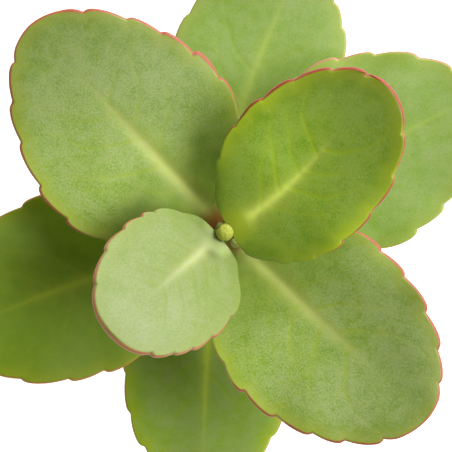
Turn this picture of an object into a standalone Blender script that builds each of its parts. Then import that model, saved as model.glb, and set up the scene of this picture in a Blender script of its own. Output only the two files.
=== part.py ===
"""Potted stonecrop: one upright succulent shoot in a plain round clay pot.

Metres, +Z up, with the origin at the middle of the pot's flat underside.
The shoot carries four crossed pairs of round, fleshy leaves. Pair 1 is the youngest, at the
top, and pair 4 the oldest. Two tiny leaves close the growing tip, and one bud sits in a leaf's
axil. The stem's foot and its roots stand in the potting mix, which fills the pot to below its rim.
"""
import math
from typing import NamedTuple

import bmesh
import bpy
from mathutils import Matrix, Vector

# Clearance between pieces that touch.
GAP = 0.0003
MERGE_DISTANCE = 0.00001

# Pot: a tapered wall with a thicker band round its rim, and drain holes round a solid centre.
POT_HEIGHT = 0.058
POT_RIM_RADIUS = 0.033
POT_FOOT_RADIUS = 0.024
POT_WALL = 0.003
POT_FLOOR = 0.004
RIM_BAND_HEIGHT = 0.013
RIM_BAND_STEP = 0.002
POT_EDGE_ROUND = 0.0008
DRAIN_HOLE_RADIUS = 0.003
DRAIN_HOLE_RING = 0.012
DRAIN_HOLE_COUNT = 3
DRAIN_HOLE_START = 0.25

# Potting mix: its edge lies this far below the rim, and its middle is heaped a little. The heap
# is given as shares of the radius and of the heap's height.
SOIL_BELOW_RIM = 0.010
SOIL_HEAP = 0.0015
SOIL_HEAP_OUTLINE = ((0.75, 0.35), (0.45, 0.75), (0.0, 1.0))

# Stem: a leaning taper from the buried foot to the growing tip, swollen where leaves join.
STEM_FOOT_DEPTH = 0.014
STEM_TIP_ABOVE_RIM = 0.0455
STEM_FOOT_RADIUS = 0.0032
STEM_TIP_RADIUS = 0.0015
STEM_LEAN_X = 0.0027
STEM_LEAN_Y = -0.0040
NODE_SWELLING = 0.0003
NODE_SPREAD = 0.0020

# Roots: a crown under the stem's foot with tapering roots that spread and go down. Each root
# is as long as this share of the depth from the crown to the pot's floor.
ROOT_CROWN_RADIUS = 0.0045
ROOT_CROWN_TOP = 0.6
ROOT_LENGTH_SHARE = 0.7
ROOT_STEP_COUNT = 6
ROOT_TAPER = 0.84
ROOT_START_DROP = 0.5
ROOT_TURN_DOWN = 0.12

# Leaves: fleshy blades with a shallow keel, on short stalks.
LEAF_THICKNESS = 0.0016
STALK_WIDTH = 0.0040
KEEL = 0.10
KEEL_ROUND = 0.0020

# Growing tip and axil bud. The bud sits in the axil of the leaf named here.
TIP_LEAF_RADIUS = 0.0014
TIP_OUTER_RADIUS = 0.0012
TIP_OUTER_HEADING = 132
TIP_OUTER_REACH = 0.0015
AXIL_BUD_LEAF = "leaf_pair2_right"
AXIL_BUD_RADIUS = 0.0009
AXIL_BUD_TALL = 1.25

# Facets. Edges sharper than this angle stay crisp.
SHARP_ANGLE = 40
POT_SIDES = 48
DRAIN_HOLE_SIDES = 20
STEM_SIDES = 14
STEM_RINGS = 40
LEAF_CELLS_ALONG = 14
LEAF_CELLS_ACROSS = 8
BUD_SIDES = 16
BUD_RINGS = 10
CROWN_SIDES = 10
CROWN_RINGS = 6


class Leaf(NamedTuple):
    """One leaf. Lengths are in metres and angles in degrees."""
    name: str
    below_tip: float   # how far under the stem's top its stalk joins the stem
    length: float
    width: float
    heading: float     # counter-clockwise from +X, seen from above
    bend: float        # sideways turn from base to tip
    rise: float        # slope at the base
    arch: float        # change of slope from base to tip, never zero
    broadest: float    # below 1 the blade is broadest nearer its base, above 1 nearer its tip
    fullness: float    # 2 is an ellipse, more is squarer
    stalk: float       # share of the length taken by the stalk
    skew: float        # share by which the left half is wider than the right


LEAVES = (
    Leaf("leaf_pair1_left", 0.0035, 0.0300, 0.0235, 220, 0, 58, -28, 1.00, 2.15, -0.05, 0.03),
    Leaf("leaf_pair1_right", 0.0035, 0.0355, 0.0275, 31.5, 34, 24, -6, 0.88, 2.10, -0.02, 0.02),
    Leaf("leaf_pair2_left", 0.0135, 0.0477, 0.0378, 131.5, 5, 22, -18, 0.73, 1.85, 0.07, 0.04),
    Leaf("leaf_pair2_right", 0.0135, 0.0468, 0.0353, -43, 0, 22, -18, 0.80, 1.95, 0.065, -0.055),
    Leaf("leaf_pair3_left", 0.0245, 0.0507, 0.0350, 201, 0, 16, -12, 0.86, 2.20, 0.08, 0.0),
    Leaf("leaf_pair3_right", 0.0245, 0.0515, 0.0365, 27.3, 0, 16, -12, 0.86, 1.82, 0.09, 0.025),
    Leaf("leaf_pair4_back", 0.0345, 0.0499, 0.0346, 81.6, -20, 12, -12, 0.86, 2.20, 0.10, -0.01),
    Leaf("leaf_pair4_front", 0.0345, 0.0481, 0.0330, 264, 5, 12, -12, 0.86, 2.20, 0.10, 0.01),
)


def clear_scene():
    """Remove whatever the opened scene holds."""
    for thing in list(bpy.data.objects):
        bpy.data.objects.remove(thing, do_unlink=True)


def finish(name, colour, roughness):
    """A plain surface with a colour and a roughness."""
    material = bpy.data.materials.new(name)
    material.use_nodes = True
    surface = material.node_tree.nodes["Principled BSDF"]
    surface.inputs["Base Color"].default_value = (*colour, 1.0)
    surface.inputs["Roughness"].default_value = roughness
    surface.inputs["Metallic"].default_value = 0.0
    return material


def add_object(name, mesh, material):
    """Put a finished bmesh into the scene as a smooth-shaded object."""
    data = bpy.data.meshes.new(name)
    mesh.to_mesh(data)
    mesh.free()
    data.shade_smooth()
    data.set_sharp_from_angle(angle=math.radians(SHARP_ANGLE))
    if material is not None:
        data.materials.append(material)
    thing = bpy.data.objects.new(name, data)
    bpy.context.collection.objects.link(thing)
    return thing


def add_cutter(name, mesh):
    """An object that only cuts others and is never part of the plant."""
    cutter = add_object(name, mesh, None)
    cutter.hide_render = True
    cutter.display_type = "WIRE"
    return cutter


def cut(target, cutter):
    """Take the cutter's shape out of the target."""
    difference = target.modifiers.new("cut_" + cutter.name, "BOOLEAN")
    difference.operation = "DIFFERENCE"
    difference.solver = "EXACT"
    difference.object = cutter


def turned(outline):
    """Spin an outline of (radius, height) points, which starts and ends on the axis."""
    mesh = bmesh.new()
    points = [mesh.verts.new((radius, 0.0, height)) for radius, height in outline]
    edges = [mesh.edges.new(pair) for pair in zip(points, points[1:])]
    bmesh.ops.spin(mesh, geom=points + edges, cent=(0, 0, 0), axis=(0, 0, 1),
                   angle=math.tau, steps=POT_SIDES, use_merge=True)
    bmesh.ops.remove_doubles(mesh, verts=mesh.verts, dist=MERGE_DISTANCE)
    bmesh.ops.recalc_face_normals(mesh, faces=mesh.faces)
    return mesh


# --- Pot -------------------------------------------------------------------------------------

def pot_body_radius(height):
    """Outside radius of the tapered wall, as if it had no rim band."""
    top = POT_RIM_RADIUS - RIM_BAND_STEP
    return POT_FOOT_RADIUS + (top - POT_FOOT_RADIUS) * height / POT_HEIGHT


def pot_inner_radius(height):
    """Inside radius of the pot at a height."""
    return pot_body_radius(height) - POT_WALL


def make_pot():
    """The pot, turned from its outline, with its edges rounded and its drain holes cut."""
    band_bottom = POT_HEIGHT - RIM_BAND_HEIGHT
    mesh = turned([
        (0.0, 0.0),
        (POT_FOOT_RADIUS, 0.0),
        (pot_body_radius(band_bottom), band_bottom),
        (pot_body_radius(band_bottom) + RIM_BAND_STEP, band_bottom),
        (POT_RIM_RADIUS, POT_HEIGHT),
        (pot_inner_radius(POT_HEIGHT), POT_HEIGHT),
        (pot_inner_radius(POT_FLOOR), POT_FLOOR),
        (0.0, POT_FLOOR),
    ])
    pot = add_object("pot", mesh, finish("clay", (0.50, 0.19, 0.09), 0.85))
    rounding = pot.modifiers.new("rounded_edges", "BEVEL")
    rounding.width = POT_EDGE_ROUND
    rounding.segments = 2
    rounding.limit_method = "ANGLE"
    rounding.angle_limit = math.radians(SHARP_ANGLE)
    for number in range(DRAIN_HOLE_COUNT):
        cut(pot, drain_hole_cutter(number))


def drain_hole_cutter(number):
    """A round bar through the pot's floor, one of a ring of them."""
    angle = math.tau * (number + DRAIN_HOLE_START) / DRAIN_HOLE_COUNT
    centre = (DRAIN_HOLE_RING * math.cos(angle), DRAIN_HOLE_RING * math.sin(angle), POT_FLOOR / 2)
    mesh = bmesh.new()
    bmesh.ops.create_cone(mesh, cap_ends=True, segments=DRAIN_HOLE_SIDES, radius1=DRAIN_HOLE_RADIUS,
                          radius2=DRAIN_HOLE_RADIUS, depth=2 * POT_FLOOR,
                          matrix=Matrix.Translation(centre))
    return add_cutter(f"drain_hole_{number + 1}", mesh)


# --- Stem ------------------------------------------------------------------------------------

def soil_edge_height():
    """Height of the potting mix where it meets the pot."""
    return POT_HEIGHT - SOIL_BELOW_RIM


def stem_foot_height():
    """Height of the stem's buried end."""
    return soil_edge_height() - STEM_FOOT_DEPTH


def stem_tip_height():
    """Height of the stem's top."""
    return POT_HEIGHT + STEM_TIP_ABOVE_RIM


def node_height(leaf):
    """Height at which a leaf joins the stem."""
    return stem_tip_height() - leaf.below_tip


def stem_centre(height):
    """Centre line of the stem: it leans most just above the potting mix, and less higher up."""
    climb = (height - soil_edge_height()) / (stem_tip_height() - soil_edge_height())
    lean = math.sin(math.pi / 2 * min(max(climb, 0.0), 1.0))
    return Vector((STEM_LEAN_X * lean, STEM_LEAN_Y * lean, height))


def stem_radius(height):
    """Taper of the stem, with a swelling at each pair of leaves."""
    climb = (height - stem_foot_height()) / (stem_tip_height() - stem_foot_height())
    taper = STEM_FOOT_RADIUS + (STEM_TIP_RADIUS - STEM_FOOT_RADIUS) * climb
    nearest = min(abs(height - node_height(leaf)) for leaf in LEAVES)
    return taper + NODE_SWELLING * math.exp(-(nearest / NODE_SPREAD) ** 2)


def stem_mesh(foot, tip, grow):
    """The stem between two heights, made fatter all round by grow."""
    mesh = bmesh.new()
    bmesh.ops.create_circle(mesh, cap_ends=False, segments=STEM_SIDES, radius=1.0)
    place_ring(list(mesh.verts), stem_centre(foot), stem_radius(foot) + grow)
    ring_edges = list(mesh.edges)
    for ring in range(1, STEM_RINGS + 1):
        height = foot + (tip - foot) * ring / STEM_RINGS
        extruded = bmesh.ops.extrude_edge_only(mesh, edges=ring_edges)["geom"]
        ring_edges = [item for item in extruded if isinstance(item, bmesh.types.BMEdge)]
        ring_verts = [item for item in extruded if isinstance(item, bmesh.types.BMVert)]
        place_ring(ring_verts, stem_centre(height), stem_radius(height) + grow)
    bmesh.ops.holes_fill(mesh, edges=mesh.edges, sides=0)
    bmesh.ops.recalc_face_normals(mesh, faces=mesh.faces)
    return mesh


def place_ring(verts, centre, radius):
    """Lay a ring of vertices level round a centre, each keeping its own direction."""
    middle = sum((vert.co for vert in verts), Vector()) / len(verts)
    for vert in verts:
        outward = (vert.co - middle).xy.normalized()
        vert.co = centre + Vector((outward.x, outward.y, 0.0)) * radius


def make_stem():
    """The stem, from its buried foot to the growing tip."""
    mesh = stem_mesh(stem_foot_height(), stem_tip_height(), 0.0)
    add_object("stem", mesh, finish("stem_skin", (0.30, 0.36, 0.12), 0.55))


# --- Roots and potting mix ---------------------------------------------------------------------

def root_crown_centre():
    """The crown's middle: its flattened top lies just under the stem's foot."""
    foot = stem_centre(stem_foot_height())
    return foot - Vector((0.0, 0.0, GAP + ROOT_CROWN_RADIUS * ROOT_CROWN_TOP))


def root_mesh(grow):
    """A crown with a root drawn out of every second face round its underside, fattened by grow."""
    mesh = bmesh.new()
    bmesh.ops.create_uvsphere(mesh, u_segments=CROWN_SIDES, v_segments=CROWN_RINGS,
                              radius=ROOT_CROWN_RADIUS)
    for vert in mesh.verts:
        vert.co.z = min(vert.co.z, ROOT_CROWN_RADIUS * ROOT_CROWN_TOP)
    mesh.normal_update()
    # The ring of faces that looks outwards and down.
    under_faces = [face for face in mesh.faces if -0.8 < face.normal.z < -0.5]
    under_faces.sort(key=lambda face: math.atan2(face.normal.y, face.normal.x))
    for face in under_faces[::2]:
        draw_root(mesh, face)
    bmesh.ops.recalc_face_normals(mesh, faces=mesh.faces)
    mesh.normal_update()
    moves = [(vert, vert.normal * grow) for vert in mesh.verts]
    for vert, move in moves:
        vert.co += move
    bmesh.ops.translate(mesh, verts=mesh.verts, vec=root_crown_centre())
    return mesh


def draw_root(mesh, face):
    """Draw one face out in steps that narrow, first outwards and then more and more downwards."""
    direction = Vector((face.normal.x, face.normal.y, ROOT_START_DROP * face.normal.z))
    direction.normalize()
    depth = root_crown_centre().z - POT_FLOOR
    length = depth * ROOT_LENGTH_SHARE / ROOT_STEP_COUNT
    for step in range(ROOT_STEP_COUNT):
        face = bmesh.ops.extrude_discrete_faces(mesh, faces=[face])["faces"][0]
        direction.z -= ROOT_TURN_DOWN * (step + 1)
        direction.normalize()
        middle = face.calc_center_median()
        for vert in face.verts:
            vert.co = middle + (vert.co - middle) * ROOT_TAPER + direction * length


def make_roots():
    """The roots, hidden in the potting mix."""
    add_object("roots", root_mesh(0.0), finish("root_skin", (0.62, 0.52, 0.36), 0.8))


def make_soil():
    """Potting mix, a plug that fits the pot, with room for the stem's foot and the roots."""
    bottom = POT_FLOOR + GAP
    corner = bottom + POT_EDGE_ROUND
    edge = soil_edge_height()
    rim = pot_inner_radius(edge) - GAP
    mesh = turned([
        (0.0, bottom),
        (pot_inner_radius(bottom) - GAP - POT_EDGE_ROUND, bottom),
        (pot_inner_radius(corner) - GAP, corner),
        (rim, edge),
        *((rim * out, edge + SOIL_HEAP * up) for out, up in SOIL_HEAP_OUTLINE),
    ])
    soil = add_object("soil", mesh, finish("potting_mix", (0.07, 0.045, 0.03), 0.95))
    above_soil = edge + SOIL_HEAP + STEM_FOOT_DEPTH
    stem_room = stem_mesh(stem_foot_height() - GAP, above_soil, GAP)
    cut(soil, add_cutter("stem_room", stem_room))
    # Twice the gap, because a fattened shape gains less at its inner corners.
    cut(soil, add_cutter("root_room", root_mesh(2 * GAP)))


# --- Leaves ------------------------------------------------------------------------------------

def half_width(leaf, share, side):
    """Half the leaf's width at a share of its length: a narrow stalk that opens into the blade."""
    blade_share = min(max((share - leaf.stalk) / (1 - leaf.stalk), 0.0), 1.0) ** leaf.broadest
    roundness = max(1 - abs(2 * blade_share - 1) ** leaf.fullness, 0.0)
    blade = leaf.width / 2 * roundness ** (1 / leaf.fullness)
    stalk = STALK_WIDTH / 2 * math.sqrt(max(1 - share ** 4, 0.0))
    return (1 + side * leaf.skew) * (blade ** 3 + stalk ** 3) ** (1 / 3)


def leaf_base(leaf):
    """Where the midrib starts, just clear of the stem."""
    heading = math.radians(leaf.heading)
    height = node_height(leaf)
    tilt_room = LEAF_THICKNESS / 2 * math.sin(math.radians(leaf.rise))
    reach = stem_radius(height) + GAP + tilt_room
    return stem_centre(height) + Vector((math.cos(heading), math.sin(heading), 0.0)) * reach


def leaf_point(leaf, share, offset):
    """A point on the blade's middle surface, offset sideways from the midrib."""
    rise = math.radians(leaf.rise)
    arch = math.radians(leaf.arch)
    slope = rise + arch * share
    out = leaf.length / arch * (math.sin(slope) - math.sin(rise))
    up = leaf.length / arch * (math.cos(rise) - math.cos(slope))
    turn = math.radians(leaf.bend) * share
    heading = math.radians(leaf.heading) + turn
    chord = heading - turn / 2
    rib = leaf_base(leaf) + Vector((out * math.cos(chord), out * math.sin(chord), up))
    sideways = Vector((-math.sin(heading), math.cos(heading), 0.0))
    lean = math.sin(slope)
    normal = Vector((-lean * math.cos(heading), -lean * math.sin(heading), math.cos(slope)))
    lift = KEEL * (math.hypot(offset, KEEL_ROUND) - KEEL_ROUND)
    return rib + sideways * offset + normal * lift


def make_leaf(leaf, material):
    """A grid stretched to the leaf's outline, drawn together at the tip and given a thickness."""
    mesh = bmesh.new()
    bmesh.ops.create_grid(mesh, x_segments=LEAF_CELLS_ALONG, y_segments=LEAF_CELLS_ACROSS, size=1.0)
    for vert in mesh.verts:
        x, y = vert.co.xy
        # Cells shorten towards both ends, where the outline turns fastest.
        share = (1 + math.sin(math.pi / 2 * x)) / 2
        side = math.copysign(1, y)
        vert.co = leaf_point(leaf, share, y * half_width(leaf, share, side))
    bmesh.ops.remove_doubles(mesh, verts=mesh.verts, dist=MERGE_DISTANCE)
    bmesh.ops.recalc_face_normals(mesh, faces=mesh.faces)
    blade = add_object(leaf.name, mesh, material)
    flesh = blade.modifiers.new("flesh", "SOLIDIFY")
    flesh.thickness = LEAF_THICKNESS
    flesh.offset = 0.0


def make_leaves():
    """All four pairs; the youngest leaf is the palest."""
    young = finish("young_leaf", (0.44, 0.60, 0.22), 0.5)
    grown = finish("grown_leaf", (0.28, 0.41, 0.14), 0.5)
    for leaf in LEAVES:
        make_leaf(leaf, young if leaf.name == "leaf_pair1_left" else grown)


# --- Growing tip and axil bud --------------------------------------------------------------------

def round_bud(centre, radius, tall):
    """A ball, drawn out upwards by tall."""
    mesh = bmesh.new()
    shape = Matrix.Translation(centre) @ Matrix.Diagonal((1.0, 1.0, tall, 1.0))
    bmesh.ops.create_uvsphere(mesh, u_segments=BUD_SIDES, v_segments=BUD_RINGS, radius=radius,
                              matrix=shape)
    return mesh


def make_tip():
    """The growing tip: a round inner leaf, and a smaller one that hugs its side."""
    material = finish("tip_leaf", (0.50, 0.55, 0.07), 0.45)
    centre = stem_centre(stem_tip_height()) + Vector((0.0, 0.0, GAP + TIP_LEAF_RADIUS))
    add_object("tip_leaf_inner", round_bud(centre, TIP_LEAF_RADIUS, 1.0), material)
    heading = math.radians(TIP_OUTER_HEADING)
    aside = Vector((math.cos(heading), math.sin(heading), 0.0)) * TIP_OUTER_REACH
    outer_centre = stem_centre(stem_tip_height()) + aside
    outer_centre.z += GAP + TIP_OUTER_RADIUS
    outer = add_object("tip_leaf_outer", round_bud(outer_centre, TIP_OUTER_RADIUS, 1.0), material)
    cut(outer, add_cutter("tip_room", round_bud(centre, TIP_LEAF_RADIUS + GAP, 1.0)))


def make_axil_bud():
    """A bud in the angle between the stem and the right leaf of pair 2."""
    leaf = next(leaf for leaf in LEAVES if leaf.name == AXIL_BUD_LEAF)
    heading = math.radians(leaf.heading)
    outward = Vector((math.cos(heading), math.sin(heading), 0.0))
    half_tall = AXIL_BUD_RADIUS * AXIL_BUD_TALL
    rise = math.radians(leaf.rise)
    seat = LEAF_THICKNESS / 2 / math.cos(rise) + AXIL_BUD_RADIUS * 2 * math.tan(rise)
    height = node_height(leaf) + seat + GAP + half_tall
    reach = stem_radius(height) + GAP + AXIL_BUD_RADIUS
    centre = stem_centre(height) + outward * reach
    mesh = round_bud(centre, AXIL_BUD_RADIUS, AXIL_BUD_TALL)
    add_object("axil_bud", mesh, finish("bud_skin", (0.52, 0.58, 0.24), 0.5))


clear_scene()
make_pot()
make_soil()
make_roots()
make_stem()
make_leaves()
make_tip()
make_axil_bud()
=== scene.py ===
"""The looks of the potted stonecrop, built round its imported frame.

Lengths are in metres and angles in degrees unless a name says otherwise. Leaves are named as in
the frame: pair 1 is the youngest, at the top of the shoot, and pair 4 the oldest.
"""

import math
from typing import NamedTuple

import bmesh
import bpy
import numpy as np
from mathutils import Matrix, Vector, noise


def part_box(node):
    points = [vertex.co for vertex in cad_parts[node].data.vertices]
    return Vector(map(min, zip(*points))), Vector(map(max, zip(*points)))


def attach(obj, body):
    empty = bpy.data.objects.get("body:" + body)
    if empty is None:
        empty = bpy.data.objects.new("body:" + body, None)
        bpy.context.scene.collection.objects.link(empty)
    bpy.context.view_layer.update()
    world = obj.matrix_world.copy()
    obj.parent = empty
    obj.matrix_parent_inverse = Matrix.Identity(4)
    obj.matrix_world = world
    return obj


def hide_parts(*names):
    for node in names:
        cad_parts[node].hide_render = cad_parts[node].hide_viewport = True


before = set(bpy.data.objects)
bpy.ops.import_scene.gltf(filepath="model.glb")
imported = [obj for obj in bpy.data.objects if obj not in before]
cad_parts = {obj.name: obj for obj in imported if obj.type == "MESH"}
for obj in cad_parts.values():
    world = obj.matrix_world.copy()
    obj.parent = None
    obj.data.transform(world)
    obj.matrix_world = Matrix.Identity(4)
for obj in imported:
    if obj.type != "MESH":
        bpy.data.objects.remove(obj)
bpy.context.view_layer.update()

MM = 0.001
GAP = 0.3 * MM

# The pot, measured from the frame.
POT_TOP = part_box("pot")[1].z
POT_RIM_RADIUS = 33 * MM
POT_FOOT_RADIUS = 24 * MM
POT_WALL = 3 * MM
POT_FLOOR = 4 * MM
RIM_BAND_HEIGHT = 13 * MM
RIM_BAND_STEP = 2 * MM
DRAIN_HOLE_RADIUS = 3 * MM
DRAIN_HOLE_RING = 12 * MM
DRAIN_HOLE_COUNT = 3

# Potting mix.
SOIL_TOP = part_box("soil")[1].z
SOIL_BELOW_RIM = 10 * MM
SOIL_EDGE = POT_TOP - SOIL_BELOW_RIM

# Stem: a leaning taper, swollen where leaves join.
STEM_FOOT, STEM_TIP = (corner.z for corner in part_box("stem"))
STEM_FOOT_RADIUS = 3.2 * MM
STEM_TIP_RADIUS = 1.5 * MM
STEM_LEAN = (2.7 * MM, -4.0 * MM)
NODE_SWELLING = 0.3 * MM
NODE_SPREAD = 2 * MM

# Leaves.
LEAF_THICKNESS = 1.6 * MM
CUP_ROUND = 4 * MM
CELLS_ALONG = 150
CELLS_ACROSS = 120


class Leaf(NamedTuple):
    """One leaf: its size and pose as in the frame, then its toothed edge and its colouring, with painted
    light and shade.
    """
    name: str
    height: float      # above the pot's rim, where its stalk joins the stem
    length: float
    width: float
    heading: float     # counter-clockwise from +X, seen from above
    bend: float        # sideways turn from base to tip
    rise: float        # slope at the base
    arch: float        # change of slope from base to tip
    broadest: float    # below 1 the blade is broadest nearer its base
    fullness: float    # 2 is an ellipse, more is squarer
    stalk: float       # share of the length taken by the stalk
    skew: float        # share by which the left half is wider than the right
    left_notches: tuple    # places along the left edge, from 0 at the base to 1 at the tip
    right_notches: tuple
    tooth: float       # depth of the teeth
    stalk_width: float
    stalk_lift: float  # how far the stalk climbs where it meets the stem
    cup: float         # slope at which each half rises away from the midrib
    rim: tuple         # strength of the coloured rim on the left edge and on the right
    tone: tuple        # lightness at the base, on the left half, on the right half and at the tip: partly the leaf's own, mostly painted light and shade
    painted_shadow: tuple        # painted shadow: how much darker and deeper a green the base is painted on its left flank and on its right
    skin: str          # which of the leaf skins it has


LEAVES = (
    Leaf("leaf_pair1_left", 0.042, 0.0300, 0.0235, 220, 0, 58, -28, 1.00, 2.15, -0.05, 0.03,
         (0.31, 0.46, 0.59, 0.69, 0.79), (0.25, 0.33, 0.46, 0.62, 0.79), 0.45 * MM,
         4.5 * MM, 0.0, 0.04, (0.75, 0.75), (0.52, 0.52, 0.52, 0.52), (0, 0), "young"),
    Leaf("leaf_pair1_right", 0.042, 0.0355, 0.0275, 31.5, 34, 24, -6, 0.88, 2.10, -0.02, 0.02,
         (0.17, 0.35, 0.54, 0.70, 0.86, 0.985), (0.16, 0.25, 0.35, 0.47, 0.61, 0.75), 0.50 * MM,
         5.5 * MM, 0.0, 0.07, (1.0, 0.65), (1.10, 2.20, 1.58, 0.93), (0, 0), "crimson"),
    Leaf("leaf_pair2_left", 0.032, 0.0477, 0.0378, 131.5, 5, 22, -18, 0.73, 1.85, 0.07, 0.04,
         (0.31, 0.43, 0.55, 0.68, 0.79, 0.90), (0.30, 0.42, 0.52, 0.62, 0.72, 0.84), 0.70 * MM,
         6.4 * MM, 2.4 * MM, -0.02, (0.75, 1.0), (0.88, 1.16, 0.92, 0.68), (1.0, 0.7), "russet"),
    Leaf("leaf_pair2_right", 0.032, 0.0468, 0.0353, -43, 0, 22, -18, 0.80, 1.95, 0.065, -0.055,
         (0.34, 0.46, 0.56, 0.68, 0.79, 0.89), (0.35, 0.45, 0.56, 0.67, 0.76, 0.87), 0.70 * MM,
         6.4 * MM, 2.4 * MM, 0.07, (0.9, 0.8), (1.00, 0.84, 1.12, 0.69), (0.5, 0), "rosy"),
    Leaf("leaf_pair3_left", 0.021, 0.0507, 0.0350, 201, 0, 16, -12, 0.86, 2.20, 0.08, 0.0,
         (0.42, 0.53, 0.63, 0.76, 0.88), (0.36, 0.47, 0.58, 0.70, 0.83), 0.70 * MM,
         5.0 * MM, 0.0, 0.05, (0.8, 0.7), (0.90, 0.85, 1.0, 0.90), (0, 0), "shaded"),
    Leaf("leaf_pair3_right", 0.021, 0.0515, 0.0365, 27.3, 0, 16, -12, 0.86, 1.82, 0.09, 0.025,
         (0.46, 0.58, 0.68, 0.80, 0.90), (0.44, 0.56, 0.66, 0.77, 0.88), 0.70 * MM,
         5.0 * MM, 0.0, 0.05, (0.9, 0.5), (1.0, 1.0, 1.0, 0.97), (0, 0), "tan"),
    Leaf("leaf_pair4_back", 0.011, 0.0499, 0.0346, 81.6, -20, 12, -12, 0.86, 2.20, 0.10, -0.01,
         (0.40, 0.51, 0.62, 0.75, 0.88), (0.42, 0.54, 0.67, 0.77, 0.85), 0.60 * MM,
         5.0 * MM, 0.0, 0.01, (0.5, 0.7), (0.95, 0.90, 1.0, 0.87), (0, 0), "tan"),
    Leaf("leaf_pair4_front", 0.011, 0.0481, 0.0330, 264, 5, 12, -12, 0.86, 2.20, 0.10, 0.01,
         (0.44, 0.58, 0.73, 0.86), (0.42, 0.55, 0.67, 0.78, 0.89), 0.60 * MM,
         5.0 * MM, 0.0, -0.05, (0.6, 0.7), (1.10, 1.30, 1.02, 1.44), (0, 0), "shaded_waxier"),
)


# --- Node helpers ---

def new_material(name):
    """A material with one Principled surface."""
    material = bpy.data.materials.new(name)
    material.use_nodes = True
    return material, material.node_tree, material.node_tree.nodes["Principled BSDF"]


def feed(socket, value):
    """Link a socket from another, or set it to a constant."""
    if isinstance(value, bpy.types.NodeSocket):
        socket.id_data.links.new(value, socket)
    elif isinstance(value, tuple) and len(value) == 3 and socket.type == "RGBA":
        socket.default_value = (*value, 1.0)
    else:
        socket.default_value = value


def adjust(node, values):
    """Feed a node's sockets, known by their names or numbers."""
    for name, value in values.items():
        feed(node.inputs[name], value)


def calc(tree, operation, first, second=0.0, clamp=False):
    """One sum on one value or two."""
    node = tree.nodes.new("ShaderNodeMath")
    node.operation = operation
    node.use_clamp = clamp
    for socket, value in zip(node.inputs, (first, second)):
        feed(socket, value)
    return node.outputs[0]


def times(tree, first, second):
    """Two values multiplied."""
    return calc(tree, "MULTIPLY", first, second)


def blend(tree, factor, first, second):
    """A mix of two colours. The Mix node's colour sockets are known by their numbers."""
    node = tree.nodes.new("ShaderNodeMix")
    node.data_type = "RGBA"
    adjust(node, {0: factor, 6: first, 7: second})
    return node.outputs[2]


def spread(tree, value, low, high, to_low=0.0, to_high=1.0):
    """A value moved from one range to another, smoothly and without overshoot."""
    node = tree.nodes.new("ShaderNodeMapRange")
    node.interpolation_type = "SMOOTHSTEP"
    adjust(node, {"Value": value, "From Min": low, "From Max": high, "To Min": to_low, "To Max": to_high})
    return node.outputs[0]


def grain(tree, size, detail=2.0, roughness=0.5, warp=0.0):
    """Soft noise whose features are about the given size across; it averages 0.5."""
    node = tree.nodes.new("ShaderNodeTexNoise")
    adjust(node, {"Vector": place(tree), "Scale": 1 / size, "Detail": detail,
                  "Roughness": roughness, "Distortion": warp})
    return node.outputs["Fac"]


def cells(tree, size):
    """Distance from the nearest of many scattered points, in cells."""
    node = tree.nodes.new("ShaderNodeTexVoronoi")
    adjust(node, {"Vector": place(tree), "Scale": 1 / size})
    return node.outputs["Distance"]


def place(tree):
    """Object coordinates, which are the frame's own metres."""
    return tree.nodes.new("ShaderNodeTexCoord").outputs["Object"]


def stored(tree, name):
    """A number kept on the mesh's points."""
    node = tree.nodes.new("ShaderNodeAttribute")
    node.attribute_name = name
    return node.outputs["Fac"]


def scaled(tree, colour, factor):
    """A colour made lighter or darker."""
    node = tree.nodes.new("ShaderNodeVectorMath")
    node.operation = "SCALE"
    adjust(node, {0: colour, "Scale": factor})
    return node.outputs[0]


def dent(tree, height, depth, strength=1.0):
    """Surface relief of a real depth."""
    node = tree.nodes.new("ShaderNodeBump")
    adjust(node, {"Strength": strength, "Distance": depth, "Height": height})
    return node.outputs["Normal"]


# --- Piece helpers ---

def mesh_data(mesh, name):
    """A bmesh made into mesh data."""
    data = bpy.data.meshes.new(name)
    mesh.to_mesh(data)
    mesh.free()
    return data


def add_object(name, data):
    """A new object in the scene, at the origin."""
    made = bpy.data.objects.new(name, data)
    bpy.context.scene.collection.objects.link(made)
    return made


def new_piece(name, mesh, material, smooth=True):
    """Make an object of a bmesh or a mesh, with its material."""
    data = mesh_data(mesh, name) if isinstance(mesh, bmesh.types.BMesh) else mesh
    if smooth:
        data.shade_smooth()
    data.materials.append(material)
    return add_object(name, data)


def settle(piece, slot, *nodes):
    """Let a piece ride on the plant's one body and stand for its frame nodes. Its slot is not used."""
    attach(piece, "root")
    if nodes:
        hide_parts(*nodes)
    return piece


def points_of(data):
    """A mesh's points as an array."""
    flat = np.zeros(len(data.vertices) * 3)
    data.vertices.foreach_get("co", flat)
    return flat.reshape(-1, 3)


def store(data, name, values):
    """Keep one number for each point of a mesh."""
    layer = data.attributes.new(name, "FLOAT", "POINT")
    layer.data.foreach_set("value", np.asarray(values, np.float32))


def apply_modifiers(piece):
    """Make a piece's modifiers permanent."""
    evaluated = piece.evaluated_get(bpy.context.evaluated_depsgraph_get())
    data = bpy.data.meshes.new_from_object(evaluated)
    piece.modifiers.clear()
    piece.data = data


def extruded(mesh, edges):
    """The new edges and points that come of extruding a loop of edges."""
    made = bmesh.ops.extrude_edge_only(mesh, edges=edges)["geom"]
    return ([item for item in made if isinstance(item, bmesh.types.BMEdge)],
            [item for item in made if isinstance(item, bmesh.types.BMVert)])


def disc_place(x, y):
    """Places on a square moved onto a disc."""
    return x * np.sqrt(1 - y * y / 2), y * np.sqrt(1 - x * x / 2)


def smoothstep(values, low, high):
    """0 below low and 1 above high, with a smooth change between."""
    share = np.clip((values - low) / (high - low), 0, 1)
    return share * share * (3 - 2 * share)


# --- Stem line ---

def stem_centre(height):
    """Centre line of the stem, as in the frame."""
    climb = np.clip((height - SOIL_EDGE) / (STEM_TIP - SOIL_EDGE), 0, 1)
    lean = math.sin(math.pi / 2 * climb)
    return Vector((STEM_LEAN[0] * lean, STEM_LEAN[1] * lean, height))


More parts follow.
